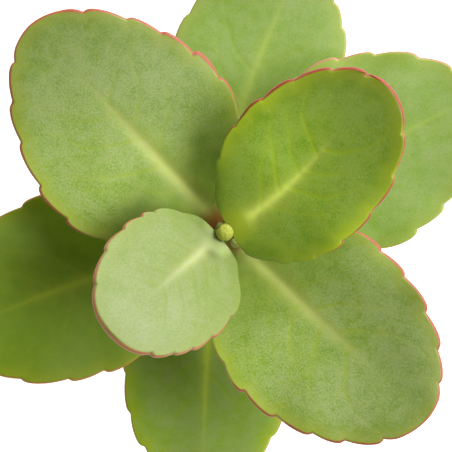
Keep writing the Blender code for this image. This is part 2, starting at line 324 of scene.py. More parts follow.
def stem_taper(height):
    """Radius of the stem without its swellings."""
    climb = (height - STEM_FOOT) / (STEM_TIP - STEM_FOOT)
    return STEM_FOOT_RADIUS + (STEM_TIP_RADIUS - STEM_FOOT_RADIUS) * climb


def node_closeness(height):
    """1 where a pair of leaves joins the stem, falling to 0 away from it."""
    nearest = min(abs(height - POT_TOP - leaf.height) for leaf in LEAVES)
    return math.exp(-(nearest / NODE_SPREAD) ** 2)


# --- Leaves ---

MARGIN_CROWDING = 0.75      # how far the grid's rows crowd towards the edge
BASE_SUNK = 1.3 * MM        # how far a stalk runs into the stem
RIM_ROUND = 0.55 * MM
RIM_THICKNESS = 0.62 * MM   # half of the blade's thickness just inside its rounded edge
FLESH = 0.22 * MM           # half-thickness gained from there to the middle of the blade
STALK_THICKNESS = 1.25 * MM
GROOVE = 0.28 * MM
RIDGE = 0.55 * MM
VEIN_DEPTH = 0.08 * MM
VEIN_WIDTH = 0.30 * MM
RIPPLE = 0.36 * MM
RIPPLE_COUNT = 4
TIP_LOBE_RISE = 3 * MM
TOOTH_PEAK = 0.78           # share of a tooth's length at which it starts to fall
INNER_MARGIN = 1.5 * MM     # grooves and ridges are full this far in from the edge


def leaf_template():
    """Two square grids back to back and joined round their edges, the upper facing up."""
    mesh = bmesh.new()
    for level in (1, -1):
        made = bmesh.ops.create_grid(mesh, x_segments=CELLS_ALONG, y_segments=CELLS_ACROSS, size=1.0,
                                     matrix=Matrix.Translation((0, 0, level)))
        if level == -1:
            faces = {face for vert in made["verts"] for face in vert.link_faces}
            bmesh.ops.reverse_faces(mesh, faces=list(faces))
    edge = [vert for vert in mesh.verts if max(abs(vert.co.x), abs(vert.co.y)) > 0.999999]
    for vert in edge:
        vert.co.z = 0
    bmesh.ops.remove_doubles(mesh, verts=edge, dist=1e-6)
    return mesh_data(mesh, "leaf_template")


def half_width(leaf, share, side):
    """Half the leaf's width at a share of its length, on its left (1) or right (-1)."""
    share = np.clip(share, 0, 1)
    blade_share = np.clip((share - leaf.stalk) / (1 - leaf.stalk), 0, 1) ** leaf.broadest
    roundness = np.clip(1 - np.abs(2 * blade_share - 1) ** leaf.fullness, 0, None)
    blade = leaf.width / 2 * roundness ** (1 / leaf.fullness)
    stalk = leaf.stalk_width / 2 * np.sqrt(np.clip(1 - share ** 4, 0, None))
    return (1 + side * leaf.skew) * np.cbrt(blade ** 3 + stalk ** 3)


def leaf_base(leaf):
    """Where the midrib starts, as in the frame."""
    heading = math.radians(leaf.heading)
    height = POT_TOP + leaf.height
    tilt_room = LEAF_THICKNESS / 2 * math.sin(math.radians(leaf.rise))
    reach = stem_taper(height) + NODE_SWELLING + GAP + tilt_room
    return np.array(stem_centre(height)) + np.array((math.cos(heading), math.sin(heading), 0)) * reach


def leaf_space(leaf, along, offset, lift):
    """Points in space from arrays of the length along the midrib, offset from it and lift off it."""
    rise, arch, bend = (math.radians(angle) for angle in (leaf.rise, leaf.arch, leaf.bend))
    share = along / leaf.length
    slope = rise + arch * share
    out = leaf.length / arch * (np.sin(slope) - math.sin(rise))
    up = leaf.length / arch * (math.cos(rise) - np.cos(slope))
    turn = bend * share
    heading = math.radians(leaf.heading) + turn
    chord = heading - turn / 2
    rib = leaf_base(leaf) + np.stack([out * np.cos(chord), out * np.sin(chord), up], -1)
    sideways = np.stack([-np.sin(heading), np.cos(heading), 0 * heading], -1)
    lean = np.sin(slope)
    normal = np.stack([-lean * np.cos(heading), -lean * np.sin(heading), np.cos(slope)], -1)
    cupped = leaf.cup * (np.hypot(offset, CUP_ROUND) - CUP_ROUND)
    return rib + sideways * offset[:, None] + normal * (lift + cupped)[:, None]


def tooth_heights(edge, notches, past_tip, depth, random):
    """Height of the scalloped edge over its notches: lobes that lean towards the tip.

    The last lobe goes round the tip and on for past_tip, to the other edge's last notch.
    """
    heights = np.zeros_like(edge)
    length = edge[-1]
    stops = [0.0, *(length * notch for notch in notches)]
    for start, end in zip(stops, stops[1:]):
        inside = (edge >= start) & (edge < end)
        x = (edge[inside] - start) / (end - start)
        swell = np.sin(math.pi / 2 * np.clip(x / TOOTH_PEAK, 0, 1))
        fall = np.sqrt(np.clip(1 - np.clip((x - TOOTH_PEAK) / (1 - TOOTH_PEAK), 0, 1) ** 2, 0, 1))
        heights[inside] = depth * random.uniform(0.8, 1.2) * swell * fall
    last = edge >= stops[-1]
    heights[last] = depth
    for gone in (edge[last] - stops[-1], length - edge[last] + past_tip):
        heights[last] *= np.sin(math.pi / 2 * np.clip(gone / TIP_LOBE_RISE, 0.001, 1)) ** 0.8
    return (heights - 0.4 * depth) * smoothstep(edge / length, 0.02, 0.2)


def outline(leaf, side):
    """One edge of the leaf from base to tip: angles round the template, points and lengths so far."""
    turn = np.linspace(0, math.pi, 900)
    share = (1 - np.cos(turn)) / 2
    points = np.stack([share * leaf.length, side * half_width(leaf, share, side)], -1)
    steps = np.hypot(*np.diff(points, axis=0).T)
    return turn, points, np.concatenate([[0], np.cumsum(steps)])


def leaf_side(leaf, side, random):
    """One edge of the leaf: angles, points, outward directions and tooth heights along it."""
    turn, points, edge = outline(leaf, side)
    other = outline(leaf, -side)[2][-1]
    mine, theirs = leaf.left_notches, leaf.right_notches
    if side < 0:
        mine, theirs = theirs, mine
    along = np.gradient(points, axis=0)
    outward = np.stack([-side * along[:, 1], side * along[:, 0]], -1)
    outward /= np.maximum(np.hypot(*along.T), 1e-12)[:, None]
    heights = tooth_heights(edge, mine, other * (1 - theirs[-1]), leaf.tooth, random)
    return turn, points, outward, heights


def vein_lines(leaf, random):
    """Side veins as (points, strength at each point): arcs off the midrib, some of them forked."""
    lines = []
    for side in (1, -1):
        starts = np.arange(0.16, 0.62, 0.13) + random.uniform(-0.02, 0.02) + 0.05 * (side < 0)
        for start in starts:
            run = np.linspace(0, 1, 40)
            reach = random.uniform(0.62, 0.8)
            advance = random.uniform(0.17, 0.24)
            along = leaf.length * (start + advance * run + 0.08 * run ** 3)
            wobble = 0.25 * MM * np.sin(run * random.uniform(7, 12) + random.uniform(0, 6))
            offset = side * (half_width(leaf, along / leaf.length, side) * reach * run ** 0.85 + wobble)
            strength = random.uniform(0.5, 1.0) * (1 - 0.75 * run)
            lines.append((np.stack([along, offset], -1), strength))
            fork = 16 + int(random.uniform(0, 8))
            branch = np.linspace(0, 1, 20)
            lean = random.choice((-1, 1))
            sprout = np.stack([along[fork] + leaf.length * (0.05 + 0.05 * lean) * branch,
                               offset[fork] + side * leaf.width * (0.10 - 0.04 * lean) * branch], -1)
            lines.append((sprout, strength[fork] * 0.8 * (1 - branch)))
    return lines


def distances(points, line):
    """Distance from each point to each point of a line."""
    return np.hypot(points[:, None, 0] - line[None, :, 0], points[:, None, 1] - line[None, :, 1])


def nearest_line(points, lines, width):
    """How strongly each point lies on the nearest line, from 0 to 1."""
    best = np.zeros(len(points))
    for line, strength in lines:
        low, high = line.min(0) - 3 * width, line.max(0) + 3 * width
        near = np.where(((points > low) & (points < high)).all(1))[0]
        if not len(near):
            continue
        gaps = distances(points[near], line)
        found = strength[gaps.argmin(1)] * np.exp(-(gaps.min(1) / width) ** 2)
        best[near] = np.maximum(best[near], found)
    return best


def margin_distance(points, edge, batch=2000):
    """Distance from each point to the leaf's edge, found a batch at a time."""
    starts = range(0, len(points), batch)
    return np.concatenate([distances(points[start:start + batch], edge).min(1) for start in starts])


def leaf_plan(leaf, x, y, random):
    """The flat leaf, its template stretched to the outline and its teeth pushed out.

    For each point: length along the midrib, offset from it, side, distance to the edge, and tooth.
    """
    disc_x, disc_y = disc_place(x, y)
    radius = np.hypot(disc_x, disc_y)
    crowded = (1 - MARGIN_CROWDING) * radius + MARGIN_CROWDING * np.sin(math.pi / 2 * radius)
    scale = crowded / np.maximum(radius, 1e-9)
    disc_x, disc_y, radius = disc_x * scale, disc_y * scale, crowded

    side = np.where(disc_y >= 0, 1, -1)
    share = (1 + disc_x) / 2
    reach = np.sqrt(np.clip(1 - disc_x ** 2, 1e-12, None))
    along = share * leaf.length
    offset = disc_y / reach * half_width(leaf, share, side)

    turn = math.pi - np.abs(np.arctan2(disc_y, disc_x))
    pull = smoothstep(radius, 0.7, 1.0)
    tooth = np.zeros_like(radius)
    edges = []
    for way in (1, -1):
        angles, points, outward, heights = leaf_side(leaf, way, random)
        mine = side == way
        tooth[mine] = np.interp(turn[mine], angles, heights)
        push = tooth[mine] * pull[mine]
        along[mine] += push * np.interp(turn[mine], angles, outward[:, 0])
        offset[mine] += push * np.interp(turn[mine], angles, outward[:, 1])
        edges.append(points + outward * heights[:, None])
    margin = margin_distance(np.stack([along, offset], -1), np.concatenate(edges))
    margin[radius > 0.99999] = 0
    return along, offset, side, margin, tooth


def blade_lift(leaf, level, share, offset, across, margin, veins):
    """How far each point lies off the leaf's middle: its flesh, stalk, groove, ridge and veins."""
    rounding = np.sqrt(np.clip(1 - (1 - np.clip(margin / RIM_ROUND, 0, 1)) ** 2, 0, 1))
    flesh = RIM_THICKNESS * rounding + FLESH * (1 - np.exp(-margin / (3 * MM)))
    stalk = np.exp(-(share / (0.09 + max(leaf.stalk, 0))) ** 2)
    round_stalk = STALK_THICKNESS * np.sqrt(np.clip(1 - across ** 2, 0, 1))
    flesh = flesh * (1 - stalk) + np.minimum(round_stalk, flesh * 2.2) * stalk
    fading = 1 - share
    groove_width = 0.6 * MM + 1.0 * MM * fading
    sunk = smoothstep(share, 0.02, 0.12) * (1 - smoothstep(share, 0.2, 0.75))
    groove = GROOVE * np.exp(-(offset / groove_width) ** 2) * sunk
    ridge = RIDGE * np.exp(-(offset / (1.1 * MM)) ** 2) * fading
    inside = smoothstep(margin, 0, INNER_MARGIN)
    upper = flesh - (groove + VEIN_DEPTH * veins) * inside
    lower = -(flesh + (ridge + VEIN_DEPTH * veins) * inside)
    return np.where(level > 0.5, upper, np.where(level < -0.5, lower, 0))


def ripples(along, offset, random):
    """A few long waves across the blade, added up."""
    total = np.zeros_like(along)
    for _ in range(RIPPLE_COUNT):
        length = random.uniform(11, 19) * MM
        heading = random.uniform(0, math.pi)
        phase = random.uniform(0, math.tau)
        total += np.sin(math.tau * (along * math.cos(heading) + offset * math.sin(heading)) / length + phase)
    return total


def make_leaf(leaf, number, template, material):
    """Shape a copy of the template into one leaf, and keep what its skin needs to know."""
    random = np.random.default_rng(100 + number)
    data = template.copy()
    data.name = leaf.name + "_blade"
    x, y, level = points_of(data).T
    along, offset, side, margin, tooth = leaf_plan(leaf, x, y, random)
    share = np.clip(along / leaf.length, 0, 1)
    across = np.clip(np.abs(offset) / np.maximum(half_width(leaf, share, side), 1e-9), 0, 1)
    veins = nearest_line(np.stack([along, offset], -1), vein_lines(leaf, random), VEIN_WIDTH)
    veins *= smoothstep(margin, 0.5 * MM, 3 * MM)

    lift = blade_lift(leaf, level, share, offset, across, margin, veins)
    lift += RIPPLE / 2 * ripples(along, offset, random) * across ** 1.5 * smoothstep(share, 0.1, 0.35)
    lift += leaf.stalk_lift * np.exp(-(share / 0.13) ** 2)
    rooted = along - BASE_SUNK * np.clip(1 - share / 0.06, 0, 1)
    data.vertices.foreach_set("co", leaf_space(leaf, rooted, offset, lift).ravel())
    data.update()

    left, right = leaf.rim
    blush = right + (left - right) * smoothstep(offset, -4 * MM, 4 * MM)
    blush *= smoothstep(share, 0.1, 0.45) * (0.8 + 0.5 * np.clip(tooth / leaf.tooth, -0.4, 0.8))
    # Painted light and shade: lightness set for the base, each half and the tip by how each faces the lamps.
    base, left, right, tip = leaf.tone
    left_painted_light, right_painted_light = (np.interp(share, (0, 0.4, 1), (base, middle, tip)) for middle in (left, right))
    tone = right_painted_light + (left_painted_light - right_painted_light) * smoothstep(offset, -7 * MM, 7 * MM)
    # Painted shadow on the base's flanks, where the leaves above overhang them.
    shadowed_flank = np.where(side > 0, *leaf.painted_shadow) * smoothstep(np.abs(offset), 1.5 * MM, 9 * MM)
    for name, values in (("blush", blush), ("margin_mm", margin / MM), ("rib_offset_mm", offset / MM),
                         ("share", share), ("tone", tone), ("vein", veins),
                         ("painted_shadow", shadowed_flank * (1 - smoothstep(share, 0.16, 0.40))),
                         ("from_stem_mm", np.hypot(along, offset) / MM),
                         ("upper_side", np.clip(level + 0.5 * (level == 0), 0, 1))):
        store(data, name, values)
    return settle(new_piece(data.name, data, material), "grown_leaf", leaf.name)


class LeafSkin(NamedTuple):
    """Colours of one kind of leaf, and how strongly it shows its markings."""
    flesh: tuple
    bloom: tuple       # waxy patches over the flesh
    band: tuple        # soft border inside the rim
    rib: tuple
    rim: tuple
    flush: tuple       # the stalk's colour beside the stem; in young and rosy also painted light
    bloom_amount: float
    rim_width_mm: float
    flush_amount: float
    shaded_base_bareness: float    # painted shade: how far the bloom is taken away beside the stem
    crispness: float   # of the fine marks; older, duller leaves show less
    rib_end: float     # share of the length at which the midrib's pale band has gone


LEAF_SKINS = {
    # young: its flush is a pale painted light over the stalk's base, against the tip bud's shadow.
    "young": LeafSkin((0.36, 0.52, 0.08), (0.52, 0.64, 0.25), (0.46, 0.56, 0.10), (0.74, 0.81, 0.38),
                      (0.44, 0.14, 0.07), (0.80, 0.95, 0.42), 0.70, 0.34, 0.4, 0.0, 0.9, 0.84),
    "crimson": LeafSkin((0.13, 0.24, 0.005), (0.21, 0.31, 0.05), (0.34, 0.40, 0.004), (0.44, 0.50, 0.11),
                        (0.38, 0.030, 0.022), (0.34, 0.44, 0.008), 0.60, 0.50, 0.85, 0.0, 1.0, 0.78),
    # rosy: its pinkish flush is made paler as painted light where the stalk lies in shade.
    "rosy": LeafSkin((0.185, 0.32, 0.010), (0.33, 0.43, 0.15), (0.40, 0.46, 0.03), (0.53, 0.59, 0.17),
                     (0.42, 0.065, 0.04), (0.80, 0.46, 0.22), 0.60, 0.54, 0.9, 0.85, 1.0, 0.88),
    "tan": LeafSkin((0.24, 0.40, 0.04), (0.38, 0.50, 0.20), (0.38, 0.46, 0.08), (0.60, 0.73, 0.17),
                    (0.55, 0.24, 0.15), (0.3, 0.12, 0.05), 0.50, 0.36, 0.4, 0.3, 0.45, 1.05),
    # shaded: painted shade, a darker, barer and more saturated copy of the older leaves' skin, for a leaf in
    # the shadow of those above.
    "shaded": LeafSkin((0.17, 0.29, 0.004), (0.20, 0.32, 0.022), (0.30, 0.37, 0.01), (0.47, 0.58, 0.03),
                       (0.46, 0.15, 0.05), (0.3, 0.12, 0.05), 0.35, 0.36, 0.4, 0.3, 0.45, 1.0),
}
LEAF_SKINS["russet"] = LEAF_SKINS["rosy"]._replace(flush=(0.36, 0.11, 0.02))
# shaded_waxier: the same painted-shade copy with more bloom and a paler midrib.
LEAF_SKINS["shaded_waxier"] = LEAF_SKINS["shaded"]._replace(bloom=(0.23, 0.31, 0.11), rib=(0.52, 0.63, 0.08),
                                                   bloom_amount=0.55)


# Sizes of the patterns in the leaf skins.
PATCH_SIZE = 9 * MM
CLOUD_SIZE = 2.4 * MM
SPECKLE_SIZE = 0.34 * MM
DOT_SPACING = 0.75 * MM
FRECKLE_SPACING = 1.3 * MM
BASE_FADES_MM = (5.0, 20.0)    # from the stem, where the base's colouring, painted shade in the bloom and a plainer band, starts and ends fading
FLUSH_FADES_MM = (1.6, 4.2)    # the same for the flush beside the stem
PAINTED_SHADOW_LIGHTNESS = 0.5                  # lightness under the darkest painted shadow
MIDRIB_BANDS = (
    # width in mm at the base, width at the tip, sharpness
    (2.6, 0.16, 1.6),
    (1.05, 0.09, 1.8),
)


def midrib_marks(tree, across, share, end):
    """The midrib's pale band and its brighter core, from the distance off it and along the leaf."""
    fading = calc(tree, "SUBTRACT", 1.0, calc(tree, "DIVIDE", share, end), clamp=True)
    marks = []
    for width, least, sharpness in MIDRIB_BANDS:
        reach = calc(tree, "ADD", times(tree, fading, width), least)
        shape = calc(tree, "POWER", calc(tree, "DIVIDE", across, reach), sharpness)
        mark = calc(tree, "EXPONENT", times(tree, shape, -1.0))
        marks.append(times(tree, mark, spread(tree, share, 0.34 * end, end, 1.0, 0.0)))
    return marks


def leaf_material(name, skin):
    """Green flesh under a patchy waxy bloom, a pale midrib, a yellow band and a coloured rim, with painted
    light and shade.
    """
    material, tree, surface = new_material("leaf_" + name)
    margin = stored(tree, "margin_mm")
    patches = grain(tree, PATCH_SIZE, detail=4, warp=0.8)
    cloud = grain(tree, CLOUD_SIZE, detail=4)
    speckle = grain(tree, SPECKLE_SIZE, detail=4, roughness=0.75)
    dots = cells(tree, DOT_SPACING)
    wander = times(tree, calc(tree, "SUBTRACT", cloud, 0.5), 0.5)
    across = calc(tree, "ABSOLUTE", calc(tree, "ADD", stored(tree, "rib_offset_mm"), wander))
    rib, core = midrib_marks(tree, across, stored(tree, "share"), skin.rib_end)
    vein = stored(tree, "vein")
    from_stem = stored(tree, "from_stem_mm")
    # Painted shade: the bloom is thinned beside the stem, where the base lies in the shade of the leaves
    # above.
    shaded_base_wax = spread(tree, from_stem, *BASE_FADES_MM, 1 - skin.shaded_base_bareness, 1.0)
    plain_base = spread(tree, from_stem, *BASE_FADES_MM, 0.1, 1.0)

    flesh = blend(tree, spread(tree, cloud, 0.3, 0.7, 0.0, 0.3), skin.flesh, skin.band)
    wobble = times(tree, patches, 3.0)
    band = spread(tree, calc(tree, "SUBTRACT", margin, wobble), -2.2, 2.4, 0.95, 0.0)
    colour = blend(tree, times(tree, band, plain_base), flesh, skin.band)
    wax = spread(tree, patches, 0.32, 0.66, 0.55, 1.15)
    wax = times(tree, wax, skin.bloom_amount)
    wax = times(tree, wax, spread(tree, margin, 0.4, 5.0, 0.35, 1.0))
    wax = calc(tree, "ADD", wax, spread(tree, cloud, 0.3, 0.7, -0.12, 0.12))
    wax = calc(tree, "ADD", wax, spread(tree, speckle, 0.35, 0.65, -0.48 * skin.crispness,
                                        0.48 * skin.crispness))
    wax = times(tree, wax, spread(tree, vein, 0.0, 0.9, 1.0, 0.1))
    wax = times(tree, wax, shaded_base_wax)
    # Painted shadow: the bloom is taken off where the base's flank is overhung.
    painted_shadow = stored(tree, "painted_shadow")
    wax = times(tree, wax, calc(tree, "SUBTRACT", 1.0, painted_shadow))
    colour = blend(tree, calc(tree, "MAXIMUM", wax, 0.0, clamp=True), colour, skin.bloom)
    colour = blend(tree, times(tree, vein, 0.55), colour, skin.band)
    dots = times(tree, spread(tree, dots, 0.08, 0.17, 0.7 * skin.crispness, 0.0),
                spread(tree, speckle, 0.45, 0.65))
    colour = blend(tree, dots, colour, skin.rib)
    freckles = spread(tree, cells(tree, FRECKLE_SPACING), 0.10, 0.20, 0.26 * skin.crispness, 0.0)
    freckles = times(tree, freckles, spread(tree, patches, 0.60, 0.68))
    colour = blend(tree, freckles, colour, skin.rim)
    halo = times(tree, rib, 0.62)
    colour = blend(tree, halo, colour, tuple((a + b) / 2 for a, b in zip(skin.rib, skin.band)))
    # Painted light: the midrib's core is made lighter near the stem, where the base lies in shade.
    core_painted_light = scaled(tree, skin.rib, spread(tree, from_stem, 2.0, 24.0, 1.4, 0.8))
    colour = blend(tree, times(tree, core, 0.75), colour, core_painted_light)

    pale = tuple(0.55 * a + 0.45 * b for a, b in zip(skin.bloom, skin.rib))
    underside = blend(tree, spread(tree, patches, 0.3, 0.7, 0.0, 0.3), pale, skin.flesh)
    underside = blend(tree, times(tree, rib, 0.6), underside, skin.rib)
    colour = blend(tree, stored(tree, "upper_side"), underside, colour)
    # Painted light and shade from the stored lightness, darker still under the painted shadow.
    tone = times(tree, stored(tree, "tone"), spread(tree, painted_shadow, 0.0, 1.0, 1.0, PAINTED_SHADOW_LIGHTNESS))
    colour = scaled(tree, colour, tone)

    flush = spread(tree, calc(tree, "ADD", from_stem, wander), *FLUSH_FADES_MM, skin.flush_amount, 0.0)
    colour = blend(tree, flush, colour, skin.flush)
    blush = times(tree, stored(tree, "blush"), spread(tree, patches, 0.3, 0.6, 0.7, 1.1))
    reach = times(tree, blush, skin.rim_width_mm)
    rim = calc(tree, "DIVIDE", margin, calc(tree, "ADD", reach, 0.05))
    rim = spread(tree, calc(tree, "SUBTRACT", rim, times(tree, cloud, 0.3)), 0.35, 1.15, 1.0, 0.0)
    rim = times(tree, rim, spread(tree, blush, 0.0, 0.7, 0.15, 0.95))
    colour = blend(tree, rim, colour, skin.rim)

    relief = calc(tree, "ADD", times(tree, speckle, 0.6), times(tree, cloud, 1.2))
    adjust(surface, {
        "Base Color": colour, "Roughness": spread(tree, speckle, 0.25, 0.75, 0.42, 0.58),
        "Specular IOR Level": 0.2 + 0.42 * skin.crispness, "Subsurface Weight": 0.50,
        "Subsurface Radius": (0.8, 1.2, 0.12), "Subsurface Scale": 1.2 * MM,
        "Normal": dent(tree, relief, 0.08 * MM, 0.6 * skin.crispness)})
    return material


def make_leaves():
    """All eight leaves."""
    template = leaf_template()
    skins = {name: leaf_material(name, skin) for name, skin in LEAF_SKINS.items()}
    for number, leaf in enumerate(LEAVES):
        make_leaf(leaf, number, template, skins[leaf.skin])


# --- Stem, buds and roots ---

STEM_SIDES = 36
STEM_RINGS = 180
YOUNGEST_JOINT = POT_TOP + LEAVES[0].height
COLLAR = 0.25 * MM          # added to the swelling of a joint
TIP_SHRINK = 0.45 * MM      # taken off the tender stem above the youngest joint
DOME_START = 0.985          # share of the stem's height at which it starts to close
BUD_SEGMENTS = (48, 32)
BUD_HUG = 0.28              # share of the way that a bud is drawn towards the one it hugs


def stem_material():
    """Smooth green skin, flushed red-brown at the joints and woodier towards the soil."""
    material, tree, surface = new_material("stem_skin")
    fine = grain(tree, 0.8 * MM, detail=3)
    patches = grain(tree, 4 * MM, detail=2)
    colour = blend(tree, spread(tree, patches, 0.3, 0.7), (0.27, 0.36, 0.07), (0.36, 0.42, 0.14))
    # Darker olive over the stem's top, from just below the youngest joint.
    colour = blend(tree, stored(tree, "shoot_top"), colour, (0.17, 0.17, 0.02))
    flush = times(tree, stored(tree, "joint"), spread(tree, patches, 0.25, 0.7, 0.5, 0.95))
    colour = blend(tree, flush, colour, (0.24, 0.09, 0.035))
    woody = times(tree, stored(tree, "woody"), spread(tree, fine, 0.3, 0.6, 0.75, 1.0))
    colour = blend(tree, woody, colour, (0.22, 0.145, 0.07))
    adjust(surface, {
        "Base Color": colour, "Roughness": spread(tree, fine, 0.3, 0.7, 0.42, 0.6),
        "Subsurface Weight": 0.15, "Subsurface Radius": (1.0, 1.0, 0.3), "Subsurface Scale": 0.8 * MM,
        "Normal": dent(tree, fine, 0.08 * MM, 0.6)})
    return material


def stem_radius(height, angle):
    """Radius of the stem: its taper, a collar at each joint, leaf scars and faint ribs."""
    joint = node_closeness(height)
    shrink = TIP_SHRINK * smoothstep(height, YOUNGEST_JOINT - 2 * MM, YOUNGEST_JOINT)
    radius = stem_taper(height) + (NODE_SWELLING + COLLAR) * joint - shrink
    ribs = 0.05 * MM * math.cos(5 * angle + 90 * height) + 0.04 * MM * math.sin(9 * angle)
    knobs = 0.10 * MM * noise.noise(Vector((math.cos(angle) * 1.5, math.sin(angle) * 1.5, height * 260)))
    return radius + ribs + knobs


def make_stem():
    """The stem, drawn up ring by ring along its leaning centre line and closed to a dome."""
    mesh = bmesh.new()
    joint, woody, shoot_top = (mesh.verts.layers.float.new(name) for name in ("joint", "woody", "shoot_top"))
    bmesh.ops.create_circle(mesh, cap_ends=False, segments=STEM_SIDES, radius=1.0)
    ring = list(mesh.edges)
    verts = list(mesh.verts)
    for step in range(STEM_RINGS + 1):
        if step:
            ring, verts = extruded(mesh, ring)
        climb = step / STEM_RINGS
        height = STEM_FOOT + (STEM_TIP - STEM_FOOT) * climb
        centre = stem_centre(height)
        closing = math.sqrt(max(1 - max((climb - DOME_START) / (1 - DOME_START), 0) ** 2, 0.02))
        middle = sum((vert.co for vert in verts), Vector()) / len(verts)
        for vert in verts:
            angle = math.atan2(vert.co.y - middle.y, vert.co.x - middle.x)
            radius = stem_radius(height, angle) * closing
            vert.co = centre + Vector((math.cos(angle), math.sin(angle), 0)) * radius
            vert[joint] = node_closeness(height) * min(max((STEM_TIP - height) / (9 * MM) - 0.6, 0), 1)
            vert[woody] = 1 - min(max((height - SOIL_EDGE) / (16 * MM), 0), 1)
            vert[shoot_top] = smoothstep(height, YOUNGEST_JOINT - 5 * MM, YOUNGEST_JOINT - 1 * MM)
    bmesh.ops.holes_fill(mesh, edges=mesh.edges, sides=0)
    bmesh.ops.recalc_face_normals(mesh, faces=mesh.faces)
    return settle(new_piece("stem_shoot", mesh, stem_material()), "stem_skin", "stem")


def bud_material(name, colour, tip_colour):
    """Tender, slightly see-through tissue."""
    material, tree, surface = new_material(name)
    fine = grain(tree, 0.35 * MM, detail=3)
    adjust(surface, {
        "Base Color": blend(tree, spread(tree, fine, 0.35, 0.65), colour, tip_colour), "Roughness": 0.6,
        "Specular IOR Level": 0.25, "Subsurface Weight": 0.35, "Subsurface Radius": (1.0, 1.0, 0.2),
        "Subsurface Scale": 0.6 * MM, "Normal": dent(tree, fine, 0.06 * MM, 0.7)})
    return material


def make_bud(name, node, material, slot, seam, stretch, raised, hugged=None):
    """A closed bud about its frame node's box, creased where its two scales meet.

    The seam is its heading and depth. A bud that hugs another is drawn in and kept just clear of it.
    """
    low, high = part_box(node)
    centre, half = (low + high) / 2, (high - low) / 2
    centre.z += raised
    mesh = bmesh.new()
    bmesh.ops.create_uvsphere(mesh, u_segments=BUD_SEGMENTS[0], v_segments=BUD_SEGMENTS[1], radius=1.0)
    seam_heading, seam_depth = math.radians(seam[0]), seam[1]
    across = Vector((math.cos(seam_heading), math.sin(seam_heading), 0))
    for vert in mesh.verts:
        crease = math.exp(-(vert.co.dot(across) / 0.12) ** 2) * max(vert.co.z + 0.3, 0)
        rough = 0.03 * noise.noise(vert.co * 3.1)
        ball = vert.co * (1 - seam_depth * crease + rough)
        vert.co = centre + ball * half * Vector(stretch)
        if hugged:
            middle, reach = hugged
            vert.co = vert.co + (middle - centre) * BUD_HUG
            away = vert.co - middle
            if away.length < reach:
                vert.co = middle + away.normalized() * reach
    bmesh.ops.recalc_face_normals(mesh, faces=mesh.faces)
    return settle(new_piece(name, mesh, material), slot, node)


def make_buds():
    """The growing tip's two leaves, and the bud in the axil of pair 2's right leaf."""
    shoot_top = bud_material("tip_skin", (0.34, 0.38, 0.03), (0.47, 0.50, 0.10))
    # Painted shadow: the outer tip leaf is coloured dark olive-brown for the shade round the tip bud.
    painted_shadow_skin = bud_material("tip_outer_painted_shadow", (0.12, 0.12, 0.02), (0.22, 0.23, 0.06))
    # The axil bud is pale as it really is, made paler still as painted light where it sits in shade.
    pale = bud_material("axil_bud_skin", (0.78, 0.82, 0.24), (0.88, 0.88, 0.42))
    make_bud("tip_inner", "tip_leaf_inner", shoot_top, "tip_leaf", (120, 0.04), (1.04, 1.04, 0.88), -0.2 * MM)
    low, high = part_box("tip_leaf_inner")
    inner = ((low + high) / 2, 1.04 * (high.x - low.x) / 2 + 0.05 * MM)
    make_bud("tip_outer", "tip_leaf_outer", painted_shadow_skin, "tip_leaf", (40, 0.03), (0.72, 0.72, 0.64), -0.5 * MM,
             hugged=inner)
    make_bud("axil_bud_scales", "axil_bud", pale, "bud_skin", (45, 0.10), (1.2, 1.2, 1.1), 0.45 * MM)


def dress_roots():
    """The roots keep their frame shape and get a fibrous skin."""
    material, tree, surface = new_material("root_skin")
    fibre = grain(tree, 0.6 * MM, detail=4)
    patches = grain(tree, 3 * MM, detail=2)
    colour = blend(tree, spread(tree, fibre, 0.3, 0.7), (0.46, 0.36, 0.22), (0.68, 0.60, 0.44))
    colour = blend(tree, spread(tree, patches, 0.5, 0.75, 0.0, 0.6), colour, (0.20, 0.13, 0.07))
    adjust(surface, {"Base Color": colour, "Roughness": 0.85, "Normal": dent(tree, fibre, 0.15 * MM)})
    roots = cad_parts["roots"]
    roots.data.materials.clear()
    roots.data.materials.append(material)


# --- Potting mix ---

SOIL_CELLS = 130
SOIL_SIDE_GAP = 0.15 * MM


def pot_inner_radius(height):
    """Inside radius of the pot, as in the frame."""
    top = POT_RIM_RADIUS - RIM_BAND_STEP
    return POT_FOOT_RADIUS + (top - POT_FOOT_RADIUS) * height / POT_TOP - POT_WALL


def soil_material():
    """Dark, crumbly mix with paler fibres and dust."""
    material, tree, surface = new_material("potting_mix")
    crumbs = cells(tree, 0.9 * MM)
    dust = grain(tree, 0.35 * MM, detail=4, roughness=0.7)
    patches = grain(tree, 5 * MM, detail=3)
    colour = blend(tree, spread(tree, crumbs, 0.1, 0.8), (0.105, 0.062, 0.034), (0.022, 0.013, 0.008))
    colour = blend(tree, spread(tree, dust, 0.56, 0.8, 0.0, 0.7), colour, (0.20, 0.13, 0.075))
    colour = blend(tree, spread(tree, patches, 0.45, 0.7, 0.0, 0.5), colour, (0.045, 0.027, 0.016))
    relief = calc(tree, "SUBTRACT", times(tree, dust, 0.7), crumbs)
    adjust(surface, {"Base Color": colour, "Roughness": 0.95, "Specular IOR Level": 0.2,
                     "Normal": dent(tree, relief, 0.5 * MM)})
    return material


def soil_height(x, y):
    """Height of the crumbly surface at a place on it."""
    edge = min(math.hypot(x, y) / pot_inner_radius(SOIL_EDGE), 1)
    heap = (SOIL_TOP - SOIL_EDGE) * (1 - edge ** 2)
    lumps = noise.fractal(Vector((x, y, 0.4)) * 220, 0.9, 2.1, 4) * 0.55 * MM
    crumbs = abs(noise.noise(Vector((x, y, 0.1)) * 900)) * 0.55 * MM
    tucked = 0.8 * MM * edge ** 12
    return SOIL_EDGE + heap * 0.8 + lumps + crumbs - tucked


